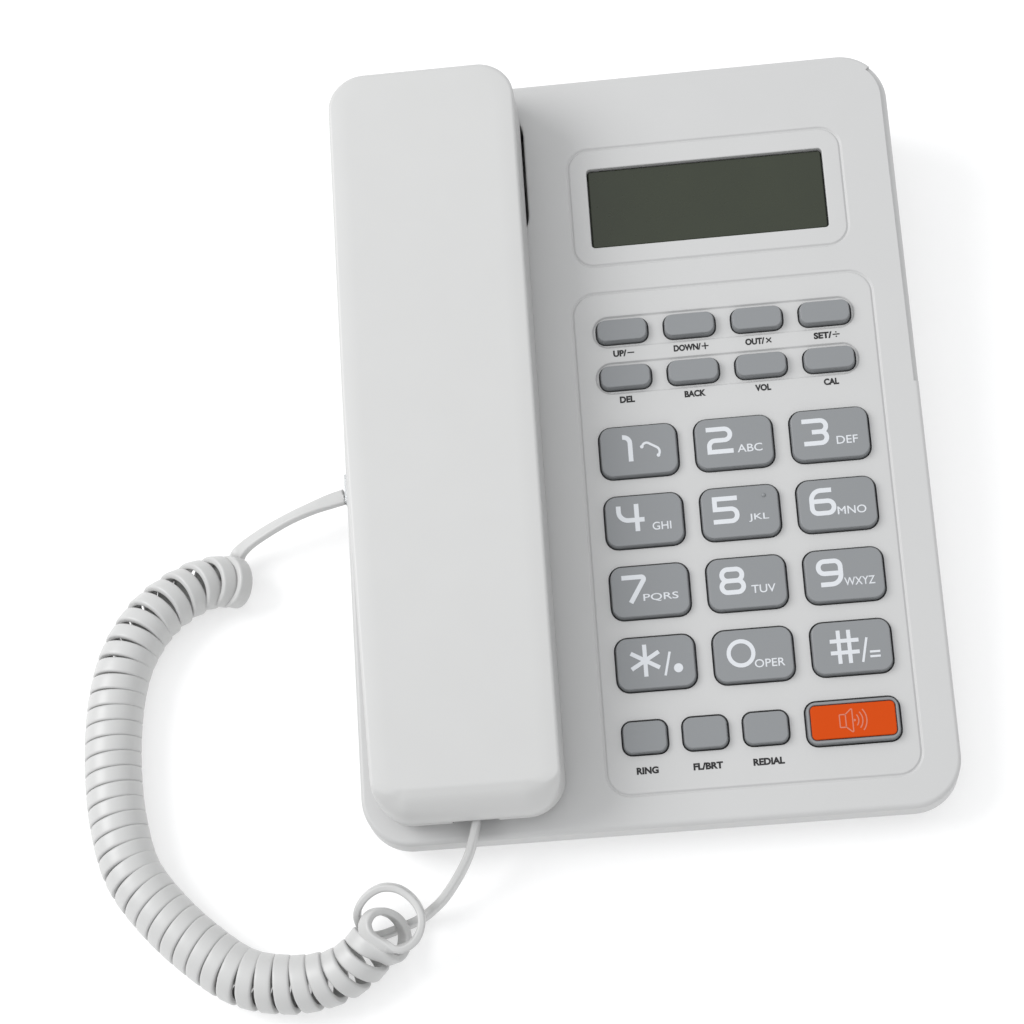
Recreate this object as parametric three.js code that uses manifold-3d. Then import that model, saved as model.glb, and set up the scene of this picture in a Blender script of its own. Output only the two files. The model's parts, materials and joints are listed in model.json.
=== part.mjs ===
// Corded desk telephone with a display, lying flat on a table.
// Millimetres, +Z up. The origin is on the table, under the middle of the base.
// The user sits at -Y, and the handset lies on the -X side.
import * as THREE from 'three';
import { mergeVertices } from 'three/addons/utils/BufferGeometryUtils.js';
import Module from 'manifold-3d';

const wasm = await Module();
wasm.setup();

// Driving dimensions -------------------------------------------------------

const GAP = 0.3;                        // clearance between pieces that rest on each other
const BASE = { y: 1, width: 150, depth: 201, corner: 12.5, skirt: 7, wall: 2.4 };
const DECK_TILT = THREE.MathUtils.degToRad(7);
const DECK_HEIGHT = 26;                 // deck plane above the table at the middle of the base
const TRAY = { low: 2, floor: 2.2, inset: 2.7, rim: 1.6, rimTop: 10 };
const FOOT = { radius: 6.5, height: TRAY.low - GAP };
const SCREW = { shank: 1.4, head: 2.7, hole: 1.7, headHeight: 1.6 };

const REBATE = { width: 1.7, depth: 1.6, from: 9.5 };     // step along the rear right edge
const EAR_WELL = { x: -47.4, v: 76.45, width: 49.8, depth: 38.5, floor: -10.4, corner: 8 };
const MOUTH_WELL = { x: -47.5, v: -70.5, width: 40.6, depth: 38, floor: -8.3, corner: 8 };
const WELL_WALL = 2;

// On the deck, x is to the right and v is up the slope from the middle of the base.
const DIAL = {
  x: [1.67, 26.27, 50.87],
  v: [-3.25, -21.85, -40.46, -59.07],
  width: 20.8,
  depth: 13.8,
  corner: 3,
};
const DIAL_NAMES = ['1', '2', '3', '4', '5', '6', '7', '8', '9', 'star', '0', 'hash'];
const FUNCTION = { x: [-0.19, 17.44, 35.06, 52.69], v: [29.9, 17.18], width: 13.5, depth: 6.3, corner: 2.2 };
const FUNCTION_NAMES = ['up', 'down', 'out', 'set', 'delete', 'back', 'volume', 'calculator'];
const LOWER = { x: [-2.53, 12.6, 27.72], v: -77.7, width: 12.3, depth: 8.7, corner: 2.2 };
const LOWER_NAMES = ['ring', 'flash', 'redial'];
const SPEAKER = { x: 49.4, v: -77.7, width: 24.4, depth: 11.4, corner: 2.6 };
const INLAY = { width: 20.5, depth: 8.5, corner: 1.2, floor: 0.7 };
const KEY = { top: 1.7, shoulder: -3, foot: -3.8, flange: 0.9, edge: 0.6, gap: 0.35 };
const BAND = { margin: 1.1, depth: 0.45 };                // shallow trough round each function row

const DISPLAY = { x: 25, v: 65, width: 62.2, depth: 21.9, corner: 0.8, sunk: 0.8 };
const DISPLAY_GROOVE = { x: 25, v: 65.25, width: 72.5, depth: 33.2, corner: 5.5 };
const KEYPAD_GROOVE = { x: 26.35, v: -25.55, width: 78.4, depth: 132.9, corner: 6 };
const GROOVE = { width: 0.7, depth: 0.4 };

const MAT = { x: 25, v: -26, width: 73, depth: 125, top: -5.3, thickness: 1.1 };
const BOARD = { x: 25, v: -4, width: 74, depth: 176, top: -6.8, thickness: 1.6 };
const POSTS = [[25, 43], [25, -89.5]];                    // where the circuit board is screwed on
const POST_RADIUS = 3;
const POST_PILOT = -1;                                    // top of the screw hole in a post

const HOOK = { x: -47.5, v: 34, width: 10, depth: 5, top: 0.3, travel: 4, flange: 1.6, switchHeight: 4 };
const CORD_PORT = { y: -2, z: 14, width: 12, height: 11, depth: 13 };
const LINE_PORT = { x: 30, z: 17, width: 15, height: 13, depth: 14 };
const LINE_MOUTH = { width: 10.4, height: 7.4, depth: 11 };
const LOUDSPEAKER = { x: 36, y: 52, radius: 22, height: 13 };
const BATTERY = { x: -30, y: 40, width: 36, depth: 50, height: 12.5, wall: 1.6, lid: 1.8, ledge: 1 };

const HANDSET = {
  x: -47.5,
  v: 2.75,
  width: 48.8,
  length: 194.7,
  corner: 9.5,
  low: 0.6,
  split: 8.5,                           // height of the seam between its two shells
  high: 22,
  edge: 2.5,
};
const HANDSET_WALL = 2;
const EAR_CUP = { v: 76.45, width: 48.4, depth: 35.6, corner: 7, low: -9.4 };
const MOUTH_CUP = { v: -70.5, width: 37.4, depth: 34.8, corner: 7, low: -7.4 };
const HANDSET_PORT = { x: -45.6, n: 5.6, width: 11, height: 9.6, depth: 12.5 };
const HANDSET_SCREWS = [[-47.5, -30], [-47.5, 44]];
const PLUG = { width: 7.6, height: 6.4, length: 12, latch: { width: 3, length: 9, height: 1.4 } };
const PLUG_MOUTH = { width: PLUG.width + 2 * GAP, height: PLUG.height + 2 * GAP, depth: PLUG.length - 0.4 };

const CORD = { radius: 1.7, coilRadius: 7.35 };
// Routes on the table, chosen by hand.
const COIL_ROUTE = [
  [-109, -22.3, 7.5], [-117.5, -22.6, 7.5], [-125.5, -26.8, 7.5], [-131.5, -32.8, 7.5], [-136.5, -41.2, 7.5],
  [-139.2, -50.5, 7.5], [-140.4, -61, 7.5], [-140.4, -73, 7.5], [-139, -86, 7.5], [-135.4, -99, 7.5],
  [-128.5, -109.3, 7.5], [-118.5, -119.6, 7.5], [-107, -128, 7.5], [-95, -130.8, 7.5], [-83.5, -129.6, 7.5],
  [-76, -125.6, 7.5], [-71.8, -120.4, 7.5],
];
const BASE_LEAD_ROUTE = [
  [-77.1, -2, 14], [-82.5, -2.7, 13.4], [-89.5, -4.6, 11.8], [-96.4, -7.8, 11.2], [-102, -12, 11],
  [-105.5, -16.8, 11], [-107.8, -20.1, 11],
];
const HANDSET_LEAD_ROUTE = [
  [-45.6, -95.8, 19.4], [-45.9, -99.2, 18.6], [-47.3, -103.2, 16.3], [-49.6, -107.5, 12.8],
  [-52.8, -111.2, 9.3], [-56.7, -114.2, 6.4], [-61.2, -116.4, 4.4], [-66, -118.2, 3.6],
];

const COLOURS = {
  shell: 0xdadad8, lens: 0x40463c, grey: 0x9a9da0, orange: 0xe05a1c, cord: 0xd9d9d7, board: 0x2f6b46,
  rubber: 0x38383a, steel: 0xb4b6b8, clear: 0xdfe4e6, dark: 0x2b2c2e, mat: 0xbfc2c4,
};
const STEEL = { metalness: 0.8 };

// Frames -------------------------------------------------------------------

const phone = new THREE.Group();
const deck = new THREE.Group();         // x to the right, y up the slope, z out of the deck
deck.rotation.x = DECK_TILT;
deck.position.z = DECK_HEIGHT;
phone.add(deck);
phone.updateMatrixWorld(true);
const deckMatrix = deck.matrixWorld.clone();

// Geometry helpers ---------------------------------------------------------

function roundedRect(width, depth, corner, x = 0, y = 0) {
  const [left, right, low, high] = [x - width / 2, x + width / 2, y - depth / 2, y + depth / 2];
  const shape = new THREE.Shape();
  shape.moveTo(left + corner, low);
  shape.lineTo(right - corner, low);
  shape.absarc(right - corner, low + corner, corner, -Math.PI / 2, 0);
  shape.lineTo(right, high - corner);
  shape.absarc(right - corner, high - corner, corner, 0, Math.PI / 2);
  shape.lineTo(left + corner, high);
  shape.absarc(left + corner, high - corner, corner, Math.PI / 2, Math.PI);
  shape.lineTo(left, low + corner);
  shape.absarc(left + corner, low + corner, corner, Math.PI, Math.PI * 1.5);
  return shape;
}

function prism(shape, low, high, { edge = 0, steps = 3, rounds = 2 } = {}) {
  const geometry = new THREE.ExtrudeGeometry(shape, {
    depth: high - low - 2 * edge,
    curveSegments: steps,
    bevelEnabled: edge > 0,
    bevelThickness: edge,
    bevelSize: edge,
    bevelOffset: -edge,
    bevelSegments: rounds,
  });
  return geometry.translate(0, 0, low + edge);
}

function block(width, depth, corner, x, y, low, high, options) {
  return prism(roundedRect(width, depth, corner, x, y), low, high, options);
}

function box(width, depth, height, x, y, z) {
  return new THREE.BoxGeometry(width, depth, height).translate(x, y, z);
}

function post(radius, low, high, x, y, sides = 12) {
  const geometry = new THREE.CylinderGeometry(radius, radius, high - low, sides);
  return geometry.rotateX(Math.PI / 2).translate(x, y, (low + high) / 2);
}

function tube(points, radius, sides, steps) {
  const corners = points.map((point) => new THREE.Vector3(...point));
  const route = new THREE.CatmullRomCurve3(corners, false, 'centripetal');
  const section = new THREE.Shape();
  section.absarc(0, 0, radius, 0, Math.PI * 2);
  return new THREE.ExtrudeGeometry(section, { extrudePath: route, steps, curveSegments: sides / 2 });
}

function solid(geometry, matrix) {
  const bare = geometry.clone();
  if (matrix) bare.applyMatrix4(matrix);
  bare.deleteAttribute('normal');
  bare.deleteAttribute('uv');
  const merged = mergeVertices(bare, 1e-4);
  return new wasm.Manifold(new wasm.Mesh({
    numProp: 3,
    vertProperties: new Float32Array(merged.attributes.position.array),
    triVerts: new Uint32Array(merged.index.array),
  }));
}

const onDeck = (geometry) => solid(geometry, deckMatrix);
const cut = (body, tools) => tools.reduce((rest, tool) => rest.subtract(tool), body);
const join = (body, tools) => tools.reduce((rest, tool) => rest.add(tool), body);

function geometryOf(manifold) {
  const { vertProperties, triVerts } = manifold.getMesh();
  const geometry = new THREE.BufferGeometry();
  geometry.setAttribute('position', new THREE.BufferAttribute(new Float32Array(vertProperties), 3));
  geometry.setIndex(new THREE.BufferAttribute(new Uint32Array(triVerts), 1));
  geometry.computeVertexNormals();
  return geometry;
}

function addPiece(parent, name, shape, color, { roughness = 0.5, metalness = 0 } = {}) {
  const geometry = shape.isBufferGeometry ? shape : geometryOf(shape);
  const mesh = new THREE.Mesh(geometry, new THREE.MeshStandardMaterial({ color, roughness, metalness }));
  mesh.name = name;
  parent.add(mesh);
  return mesh;
}

// Blocks larger than the telephone, for cutting at a height.
const FAR = 400;
const above = (level) => box(FAR, FAR, FAR, 0, 0, level + FAR / 2);
const below = (level) => box(FAR, FAR, FAR, 0, 0, level - FAR / 2);
const OVER = 5;                         // how far a cutting tool stands out of what it cuts

// Keys ---------------------------------------------------------------------

const keys = [
  ...DIAL_NAMES.map((name, i) => (
    { ...DIAL, x: DIAL.x[i % 3], v: DIAL.v[Math.floor(i / 3)], name: `dial_key_${name}` })),
  ...FUNCTION_NAMES.map((name, i) => (
    { ...FUNCTION, x: FUNCTION.x[i % 4], v: FUNCTION.v[Math.floor(i / 4)], name: `${name}_key` })),
  ...LOWER_NAMES.map((name, i) => ({ ...LOWER, x: LOWER.x[i], name: `${name}_key` })),
  { ...SPEAKER, name: 'speaker_key' },
];

function keyCap({ width, depth, corner }) {
  const { edge, flange, foot, shoulder, top } = KEY;
  const cap = block(width, depth, corner, 0, 0, shoulder - edge, top, { edge, steps: 2, rounds: 1 });
  const skirt = block(width + 2 * flange, depth + 2 * flange, corner, 0, 0, foot, shoulder, { steps: 1 });
  return solid(cap).add(solid(skirt));
}

function keyHole({ x, v, width, depth, corner }) {
  const { gap } = KEY;
  return onDeck(block(width + 2 * gap, depth + 2 * gap, corner + gap, x, v, -OVER, OVER, { steps: 2 }));
}

function addKeys() {
  const { width, depth, corner, floor } = INLAY;
  const proud = 0.1;
  const pocket = block(width + 2 * GAP, depth + 2 * GAP, corner, 0, 0, floor, OVER, { steps: 2 });
  for (const key of keys) {
    const cap = keyCap(key);
    const shape = key.name === 'speaker_key' ? cap.subtract(solid(pocket)) : cap;
    addPiece(deck, key.name, shape, COLOURS.grey).position.set(key.x, key.v, 0);
  }
  const plate = block(width, depth, corner, 0, 0, floor + GAP, KEY.top + proud, { steps: 2 });
  addPiece(deck, 'speaker_key_inlay', plate, COLOURS.orange).position.set(SPEAKER.x, SPEAKER.v, 0);
}

// Base ---------------------------------------------------------------------

const screwPlaces = [[66, -88.5], [66, 91], [-66, 91], [-66, -40]];
const SCREW_BOSS = { low: 6.8, pilot: 11, radius: 3.5, trayRadius: 4.5, trayTop: 6.5, seat: 4.3 };

function wellWall({ x, v, width, depth, floor, corner }) {
  const grow = 2 * WELL_WALL;
  return onDeck(block(width + grow, depth + grow, corner + WELL_WALL, x, v, floor - WELL_WALL, OVER));
}

function groove({ x, v, width, depth, corner }) {
  const line = GROOVE.width;
  const outer = block(width + line, depth + line, corner + line / 2, x, v, -GROOVE.depth, OVER);
  const inner = block(width - line, depth - line, corner - line / 2, x, v, -OVER, 2 * OVER);
  return onDeck(outer).subtract(onDeck(inner));
}

function functionBand(v) {
  const width = FUNCTION.x[3] - FUNCTION.x[0] + FUNCTION.width + 2 * BAND.margin;
  const depth = FUNCTION.depth + 2 * BAND.margin;
  const middle = (FUNCTION.x[0] + FUNCTION.x[3]) / 2;
  const corner = 0.98 * depth / 2;
  return onDeck(block(width, depth, corner, middle, v, -BAND.depth, OVER));
}

function portHole({ width, height, depth }, clearance) {
  return solid(box(width + 2 * clearance, 2 * depth, height + 2 * clearance, 0, 0, 0));
}

const atLeft = (shape) => shape.rotate([0, 0, 90]).translate([-BASE.width / 2, CORD_PORT.y, CORD_PORT.z]);
const atRear = (shape) => shape.translate([LINE_PORT.x, BASE.y + BASE.depth / 2, LINE_PORT.z]);

function addTopShell() {
  const { y, width, depth, corner, skirt, wall } = BASE;
  const roof = 60;
  const full = solid(block(width, depth, corner, 0, y, skirt, roof, { steps: 6 }));
  const outer = full.subtract(onDeck(above(0)));
  const room = solid(block(width - 2 * wall, depth - 2 * wall, corner - wall, 0, y, skirt - OVER, roof));
  const bosses = screwPlaces.map(([x, y]) => solid(post(SCREW_BOSS.radius, SCREW_BOSS.low, roof, x, y)));
  const boardPosts = POSTS.map(([x, v]) => onDeck(post(POST_RADIUS, BOARD.top + GAP, OVER, x, v)));
  const wellWalls = [EAR_WELL, MOUTH_WELL].map(wellWall);
  const hollow = cut(room, [onDeck(above(-wall)), ...wellWalls, ...bosses, ...boardPosts]);
  const wells = [EAR_WELL, MOUTH_WELL].map((well) =>
    onDeck(block(well.width, well.depth, well.corner, well.x, well.v, well.floor, OVER)));
  const { x, v, width: lensWidth, depth: lensDepth, corner: lensCorner } = DISPLAY;
  const window = block(lensWidth + 2 * GAP, lensDepth + 2 * GAP, lensCorner, x, v, -OVER, OVER);
  const hookSlot = block(HOOK.width + 1, HOOK.depth + 1, 1, HOOK.x, HOOK.v, -OVER, OVER);
  const step = { wide: 10, long: 120 };
  const rebate = box(step.wide, step.long, step.wide, width / 2 - REBATE.width + step.wide / 2,
    REBATE.from + step.long / 2, step.wide / 2 - REBATE.depth);
  const tools = [
    hollow,
    ...wells,
    ...keys.map(keyHole),
    ...FUNCTION.v.map(functionBand),
    groove(DISPLAY_GROOVE),
    groove(KEYPAD_GROOVE),
    onDeck(window),
    onDeck(hookSlot),
    onDeck(rebate),
    ...screwPlaces.map(([px, py]) => solid(post(SCREW.hole, SCREW_BOSS.low - 1, SCREW_BOSS.pilot, px, py))),
    ...POSTS.map(([px, pv]) => onDeck(post(SCREW.hole, BOARD.top, POST_PILOT, px, pv))),
    atLeft(portHole(CORD_PORT, GAP)),
    atRear(portHole(LINE_PORT, GAP)),
  ];
  addPiece(phone, 'base_top_shell', cut(outer, tools), COLOURS.shell);
}

function addBottomShell() {
  const { low, floor, inset, rim, rimTop } = TRAY;
  const { y, width, depth, corner, wall } = BASE;
  const inside = (from) => [width - 2 * from, depth - 2 * from, corner - from, 0, y];
  const side = wall + GAP;
  const plate = solid(block(...inside(inset), low, low + floor, { steps: 6 }));
  const rimOuter = solid(block(...inside(side), low + 1, rimTop));
  const rimInner = solid(block(...inside(side + rim), low, rimTop + OVER));
  const { trayRadius, trayTop, seat } = SCREW_BOSS;
  const bosses = screwPlaces.map(([x, y]) => solid(post(trayRadius, low, trayTop, x, y)));
  const battery = (grow, round, from, to) => block(
    BATTERY.width + 2 * grow, BATTERY.depth + 2 * grow, round, BATTERY.x, BATTERY.y, from, to);
  const batteryTop = low + BATTERY.height;
  const lidTop = low + BATTERY.lid;
  const batteryBox = solid(battery(BATTERY.wall, 2, low, batteryTop + BATTERY.wall));
  const body = join(plate, [rimOuter.subtract(rimInner), ...bosses, batteryBox]);
  const grille = { holes: 6, spread: 9, radius: 1.5 };
  const grillePlaces = [[LOUDSPEAKER.x, LOUDSPEAKER.y]];
  for (let i = 0; i < grille.holes; i += 1) {
    const turn = i * 2 * Math.PI / grille.holes;
    const [dx, dy] = [grille.spread * Math.cos(turn), grille.spread * Math.sin(turn)];
    grillePlaces.push([LOUDSPEAKER.x + dx, LOUDSPEAKER.y + dy]);
  }
  const tools = [
    solid(battery(0, 1, lidTop + GAP, batteryTop)),
    solid(battery(BATTERY.ledge, 2, low - 1, lidTop + GAP)),
    ...screwPlaces.map(([x, y]) => solid(post(SCREW.hole, 0, 2 * OVER, x, y))),
    ...screwPlaces.map(([x, y]) => solid(post(SCREW.head + GAP, 0, seat, x, y))),
    ...grillePlaces.map(([x, y]) => solid(post(grille.radius, 0, OVER, x, y, 8))),
    atLeft(portHole(CORD_PORT, 2 * GAP)),
  ];
  addPiece(phone, 'base_bottom_shell', cut(body, tools), COLOURS.shell);
  addPiece(phone, 'battery_cover', battery(BATTERY.ledge - GAP, 2, low, lidTop), COLOURS.shell);
}

function addFeetAndScrews() {
  const feet = [[56, -80], [56, 80], [-56, 80], [-56, -80]];
  feet.forEach(([x, y], index) => {
    const foot = post(FOOT.radius, 0, FOOT.height, x, y);
    addPiece(phone, `rubber_foot_${index + 1}`, foot, COLOURS.rubber, { roughness: 0.9 });
  });
  screwPlaces.forEach(([x, y], index) => {
    const screw = screwSolid(SCREW_BOSS.seat - GAP - SCREW.headHeight, SCREW_BOSS.pilot - GAP);
    addPiece(phone, `base_screw_${index + 1}`, screw, COLOURS.steel, STEEL).position.set(x, y, 0);
  });
  POSTS.forEach(([x, v], index) => {
    const under = BOARD.top - BOARD.thickness - GAP;
    const screw = screwSolid(under - SCREW.headHeight, POST_PILOT - GAP);
    addPiece(deck, `board_screw_${index + 1}`, screw, COLOURS.steel, STEEL).position.set(x, v, 0);
  });
}

// A screw pointing up, with its head from headLow and its tip at tip.
function screwSolid(headLow, tip) {
  const { head, headHeight, shank } = SCREW;
  const profile = [
    [0, headLow], [head, headLow], [head, headLow + headHeight],
    [shank, headLow + headHeight], [shank, tip - 1], [0, tip],
  ];
  const geometry = new THREE.LatheGeometry(profile.map(([r, z]) => new THREE.Vector2(r, z)), 12);
  return solid(geometry.rotateX(Math.PI / 2));
}

function addElectronics() {
  const { x, v, width, depth, top, thickness } = BOARD;
  const holes = POSTS.map(([px, pv]) => solid(post(SCREW.hole, top - OVER, OVER, px, pv)));
  const board = cut(solid(block(width, depth, 2, x, v, top - thickness, top, { steps: 2 })), holes);
  addPiece(deck, 'main_circuit_board', board, COLOURS.board);

  const mat = block(MAT.width, MAT.depth, 2, MAT.x, MAT.v, MAT.top - MAT.thickness, MAT.top, { steps: 2 });
  const matHoles = POSTS.map(([px, pv]) => solid(post(POST_RADIUS + GAP, MAT.top - OVER, OVER, px, pv)));
  addPiece(deck, 'keypad_membrane', cut(solid(mat), matHoles), COLOURS.mat, { roughness: 0.8 });

  const back = -BASE.wall - GAP;
  const flange = { thickness: 1, width: 2 };
  const { x: lensX, v: lensV, width: lensWidth, depth: lensDepth, corner } = DISPLAY;
  const glass = (grow, from, to) => block(
    lensWidth + 2 * grow, lensDepth + 2 * grow, corner, lensX, lensV, from, to, { steps: 2 });
  const lens = solid(glass(0, back - flange.thickness, -DISPLAY.sunk))
    .add(solid(glass(flange.width, back - flange.thickness, back)));
  addPiece(deck, 'display_window', lens, COLOURS.clear, { roughness: 0.1 });
  const panel = glass(1, BOARD.top + GAP, back - flange.thickness - GAP);
  addPiece(deck, 'display_panel', panel, COLOURS.lens, { roughness: 0.2 });

  const { x: sx, y: sy, radius, height } = LOUDSPEAKER;
  const base = TRAY.low + TRAY.floor + GAP;
  const magnet = { radius: 13, low: 7 };
  const cone = [
    [0, 0.5], [radius, 0.5], [radius, 3], [radius - 6, magnet.low],
    [magnet.radius, magnet.low], [magnet.radius, height], [0, height],
  ];
  const speaker = new THREE.LatheGeometry(cone.map(([r, z]) => new THREE.Vector2(r, z)), 24);
  const upright = solid(speaker.rotateX(Math.PI / 2));
  addPiece(phone, 'loudspeaker', upright.translate([sx, sy, base]), COLOURS.dark);
}

function addHookSwitch() {
  const { x, v, width, depth, top, travel, flange, switchHeight } = HOOK;
  const flangeTop = -BASE.wall - travel - GAP;
  const flangeLow = flangeTop - flange;
  const stem = solid(block(width, depth, 0.8, x, v, flangeLow, top, { steps: 2 }));
  const foot = solid(block(width + 4, depth + 3, 1, x, v, flangeLow, flangeTop, { steps: 1 }));
  addPiece(deck, 'hook_plunger', stem.add(foot), COLOURS.shell);
  const high = flangeLow - GAP;
  const body = block(width + 6, depth + 5, 1, x, v, high - switchHeight, high, { steps: 1 });
  addPiece(deck, 'hook_switch', body, COLOURS.dark);
}

// Sockets and plugs --------------------------------------------------------

// A socket lying along +Y, with its mouth at y = 0 and its body at y < 0.
function socket(width, height, depth, mouth) {
  const body = solid(box(width, depth, height, 0, -depth / 2, 0));
  const hole = solid(box(mouth.width, mouth.depth * 2, mouth.height, 0, 0, 0));
  return body.subtract(hole);
}

// A plug lying along +Y, with its cord end at y = 0; the latch is on its upper side.
function plug() {
  const { width, height, length, latch } = PLUG;
  const body = solid(box(width, length, height - latch.height, 0, -length / 2, -latch.height / 2));
  const arm = box(latch.width, latch.length, latch.height + 0.2, 0, -1 - latch.length / 2,
    (height - latch.height - 0.2) / 2);
  return body.add(solid(arm));
}

function addBasePorts() {
  const sunk = { cord: 0.8, line: 0.4 };
  const plugProud = 1.8;
  const { width, height, depth } = CORD_PORT;
  const cordJack = socket(width, height, depth, PLUG_MOUTH).translate([0, -sunk.cord, 0]);
  addPiece(phone, 'base_cord_jack', atLeft(cordJack), COLOURS.dark);
  const cordPlug = plug().translate([0, plugProud, 0]);
  addPiece(phone, 'base_cord_plug', atLeft(cordPlug), COLOURS.clear, { roughness: 0.2 });
  const line = socket(LINE_PORT.width, LINE_PORT.height, LINE_PORT.depth, LINE_MOUTH);
  addPiece(phone, 'line_jack', atRear(line.translate([0, -sunk.line, 0])), COLOURS.dark);
}

// Handset ------------------------------------------------------------------

function cup({ v, width, depth, corner, low }, shrink, steps) {
  const { x, split } = HANDSET;
  const size = [width - 2 * shrink, depth - 2 * shrink, corner - shrink];
  return solid(block(...size, x, v, low + shrink, split, { steps }));
}

const handsetPost = (radius, low, high) =>
  HANDSET_SCREWS.map(([x, v]) => solid(post(radius, low, high, x, v)));

function addHandset() {
  const { x, v, width, length, corner, low, split, high, edge } = HANDSET;
  const wall = HANDSET_WALL;
  const end = v - length / 2;
  const room = block(width - 2 * wall, length - 2 * wall, corner - wall, x, v, low + wall, high - wall);
  const inside = solid(room);
  const port = HANDSET_PORT;
  const notchTop = port.n + port.height / 2 + GAP;
  const notchSize = [port.width + 2 * GAP, 2 * port.depth + 4, notchTop + FAR];
  const notch = solid(box(...notchSize, port.x, end, (notchTop - FAR) / 2));

  // The posts of the back shell reach past its seam, into the front shell.
  const posts = { radius: 3.4, low: 5.6, pilot: 16 };
  const full = solid(block(width, length, corner, x, v, low - 6, high, { edge, steps: 5, rounds: 2 }));
  const backRoom = cut(inside, handsetPost(posts.radius, posts.low, high - 1));
  const back = join(full.subtract(solid(below(split))).subtract(backRoom),
    handsetPost(posts.radius, posts.low, split + 1));
  const pilots = handsetPost(SCREW.hole, posts.low - 1, posts.pilot);
  addPiece(deck, 'handset_back_shell', cut(back, [...pilots, notch]), COLOURS.shell);

  const frontTop = split - GAP;
  const seat = low + 2;
  const frontBlock = solid(block(width, length, corner, x, v, low, frontTop, { steps: 5 }));
  const cups = [EAR_CUP, MOUTH_CUP].map((shape) => cup(shape, 0, 5).subtract(solid(above(frontTop))));
  const cupRooms = [EAR_CUP, MOUTH_CUP].map((shape) => cup(shape, wall, 3).translate([0, 0, 1]));
  const sound = [
    ...[-5, 0, 5].flatMap((dx) => [-5, 0, 5].map((dy) => [x + dx, EAR_CUP.v + dy])),
    ...[-4, 0, 4].map((dx) => [x + dx, MOUTH_CUP.v]),
  ];
  const soundHole = { radius: 1.1, low: -12 };
  const front = cut(join(frontBlock, cups), [
    cut(inside, handsetPost(4.5, low, posts.low - GAP)),
    ...cupRooms,
    ...sound.map(([px, pv]) => solid(post(soundHole.radius, soundHole.low, 0, px, pv, 8))),
    ...handsetPost(SCREW.hole, low - 1, posts.low),
    ...handsetPost(SCREW.head + GAP, low - 1, seat),
    notch,
  ]);
  addPiece(deck, 'handset_front_shell', front, COLOURS.shell);

  HANDSET_SCREWS.forEach(([px, pv], index) => {
    const screw = screwSolid(seat - GAP - SCREW.headHeight, posts.pilot - 1);
    addPiece(deck, `handset_screw_${index + 1}`, screw, COLOURS.steel, STEEL).position.set(px, pv, 0);
  });
  addHandsetInsides();

  const turned = (shape, y) => shape.rotate([0, 0, 180]).translate([port.x, y, port.n]);
  const jack = socket(port.width, port.height, port.depth, PLUG_MOUTH);
  addPiece(deck, 'handset_cord_jack', turned(jack, end + 0.9), COLOURS.dark);
  addPiece(deck, 'handset_cord_plug', turned(plug(), end + 0.2), COLOURS.clear, { roughness: 0.2 });
}

function addHandsetInsides() {
  const { x } = HANDSET;
  const cupFloor = ({ low }) => low + HANDSET_WALL + 1 + GAP;
  const ear = { radius: 14, height: 5.5 };
  const mouth = { radius: 4.9, height: 6.7 };
  const weight = { width: 26, length: 54, height: 6, v: 7, n: 14.5 };
  const [earLow, mouthLow] = [EAR_CUP, MOUTH_CUP].map(cupFloor);
  const speaker = post(ear.radius, earLow, earLow + ear.height, x, EAR_CUP.v, 24);
  addPiece(deck, 'earpiece_speaker', speaker, COLOURS.dark);
  const capsule = post(mouth.radius, mouthLow, mouthLow + mouth.height, x, MOUTH_CUP.v, 16);
  addPiece(deck, 'microphone', capsule, COLOURS.steel);
  const bar = box(weight.width, weight.length, weight.height, x, weight.v, weight.n);
  addPiece(deck, 'handset_weight', bar, COLOURS.steel, { metalness: 0.7 });
}

// Cord ---------------------------------------------------------------------

function addCord() {
  addPiece(phone, 'curly_cord_coil', tube(COIL_ROUTE, CORD.coilRadius, 10, 24), COLOURS.cord);
  addPiece(phone, 'cord_lead_to_base', tube(BASE_LEAD_ROUTE, CORD.radius, 8, 10), COLOURS.cord);
  addPiece(phone, 'cord_lead_to_handset', tube(HANDSET_LEAD_ROUTE, CORD.radius, 8, 10), COLOURS.cord);
}

addTopShell();
addBottomShell();
addFeetAndScrews();
addElectronics();
addHookSwitch();
addBasePorts();
addKeys();
addHandset();
addCord();

export default phone;
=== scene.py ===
"""Corded desk telephone: the looks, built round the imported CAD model. Metres, +Z up.

The deck is the sloping top of the base. A place on it is (x, v, n): x to the right, v up the
slope from the middle of the base, n out of the deck.
"""

import json
import math

import bmesh
import bpy
from mathutils import Matrix, Vector
from mathutils.geometry import tessellate_polygon


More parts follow.
